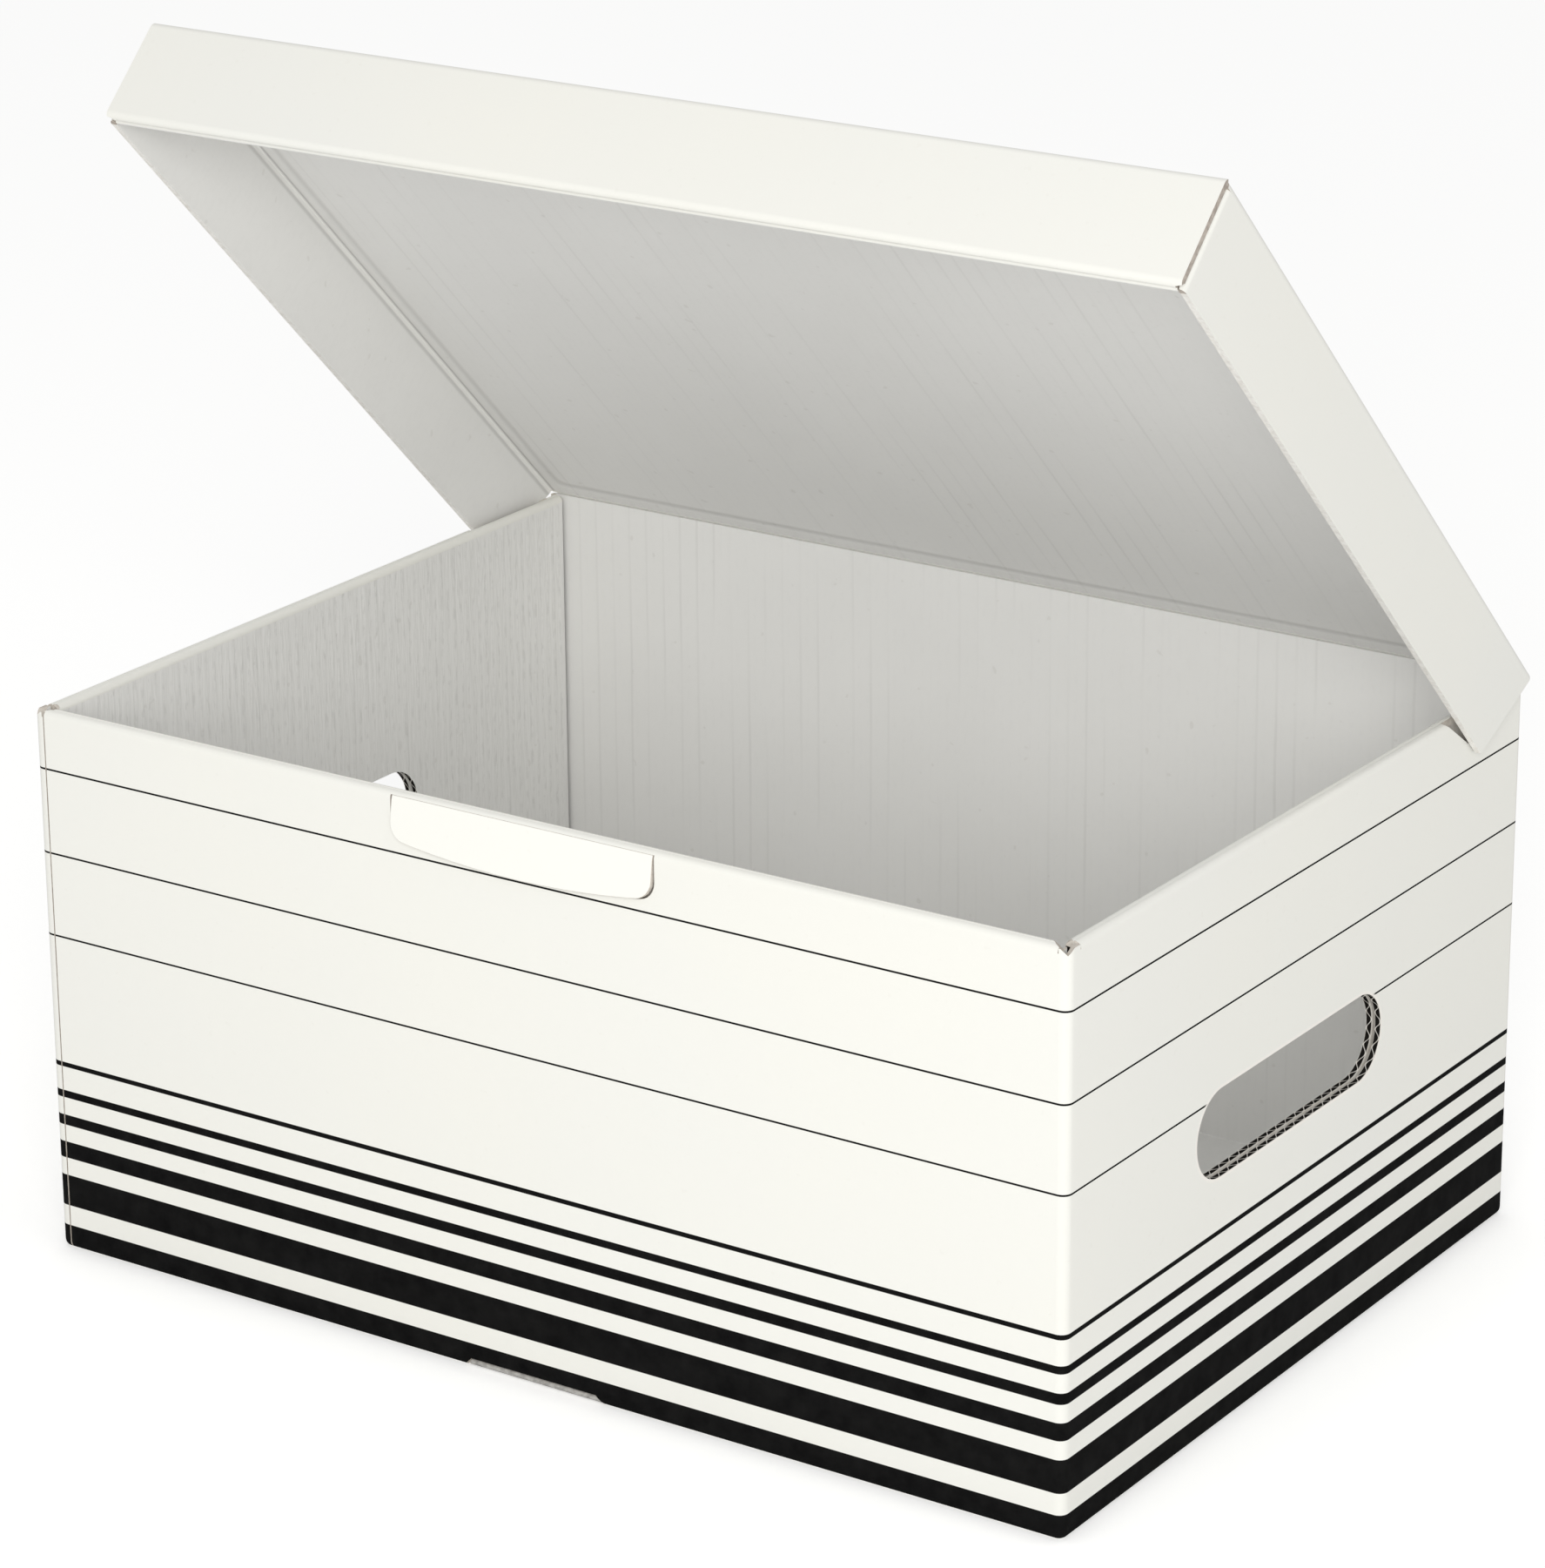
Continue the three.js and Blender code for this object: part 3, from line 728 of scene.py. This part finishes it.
pale_edge = raw_edge("pale_edge", (0.90, 0.885, 0.85, 1), (0.70, 0.67, 0.62, 1),
                     (0.94, 0.93, 0.90, 1))
brown_edge = raw_edge("brown_edge", (0.50, 0.445, 0.39, 1), (0.20, 0.165, 0.14, 1),
                      (0.66, 0.61, 0.56, 1))
lid_sheet = as_object("lid_sheet", bm, [lid_white, lid_liner, brown_edge, pale_edge])
thicken(lid_sheet)
pale_side = 3
for face in lid_sheet.data.polygons:
    closed = tilt.inverted() @ (face.center - Vector(lid_axis))
    if face.material_index == cut_side and closed.y + axis_y > lid_front + 0.007:
        face.material_index = pale_side
soften(lid_sheet)
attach(lid_sheet, "lid")
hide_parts("lid")


# Lid fold
# The sheet bends over the back wall's top edge in one creased line, the lid's hinge. The bent
# board is a round bead there, as thick as the board, which fills the fold at every opening.
fold_radius = board / 2 + 0.0001
bm = bmesh.new()
along_axis = Matrix.Translation(lid_axis) @ Matrix.Rotation(math.pi / 2, 4, "Y")
bmesh.ops.create_cone(bm, cap_ends=True, segments=20, radius1=fold_radius, radius2=fold_radius,
                      depth=2 * panel_half, matrix=along_axis)
lid_fold = as_object("lid_fold", bm, [lid_white])
soften(lid_fold, 0.0001, 1)
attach(lid_fold, "lid")


# Floor and light
# A white table that runs to a white background and keeps the box's soft shadow, under an even
# bright sky with one large soft lamp behind and above the camera.
table_size, table_glow, sky_strength = 6, 0.33, 0.65
bm = bmesh.new()
bmesh.ops.create_grid(bm, x_segments=1, y_segments=1, size=table_size)
table_paint = Paint("table_paint")
table_place, _ = table_paint.place()
grain = table_paint.noise(table_place, 300.0)
seen = table_paint.node("ShaderNodeLightPath", output="Is Camera Ray")
table_white = table_paint.blend(grain * 0.03, (0.93, 0.93, 0.925, 1), (0.90, 0.90, 0.89, 1))
table_lifted = table_paint.node("ShaderNodeEmission", None,
                                {"Color": (1, 1, 1, 1), "Strength": table_glow})
matt = table_paint.node("ShaderNodeBsdfDiffuse", None, {"Color": table_white})
lit = table_paint.node("ShaderNodeAddShader", None, {0: matt, 1: table_lifted})
table_surface = table_paint.node("ShaderNodeMixShader", None, {0: seen, 1: matt, 2: lit})
table_paint.node("ShaderNodeOutputMaterial", None, {"Surface": table_surface})
table = as_object("table", bm, [table_paint.material])

world = bpy.data.worlds.new("studio")
bpy.context.scene.world = world
world.use_nodes = True
sky = world.node_tree.nodes["Background"]
sky.inputs["Color"].default_value = (1.0, 1.0, 1.0, 1)
sky.inputs["Strength"].default_value = sky_strength

light = bpy.data.lights.new("key", "AREA")
light.shape = "DISK"
light.size = 1.0
light.energy = 16.5
light.color = (1.0, 0.99, 0.955)
lamp = bpy.data.objects.new("key", light)
lamp.location = (1.0, -1.6, 0.90)
lamp_target = Vector((0, 0, 0.17))
lamp.rotation_euler = (lamp_target - lamp.location).to_track_quat("-Z", "Y").to_euler()
bpy.context.scene.collection.objects.link(lamp)

bpy.context.scene.view_settings.view_transform = "Standard"
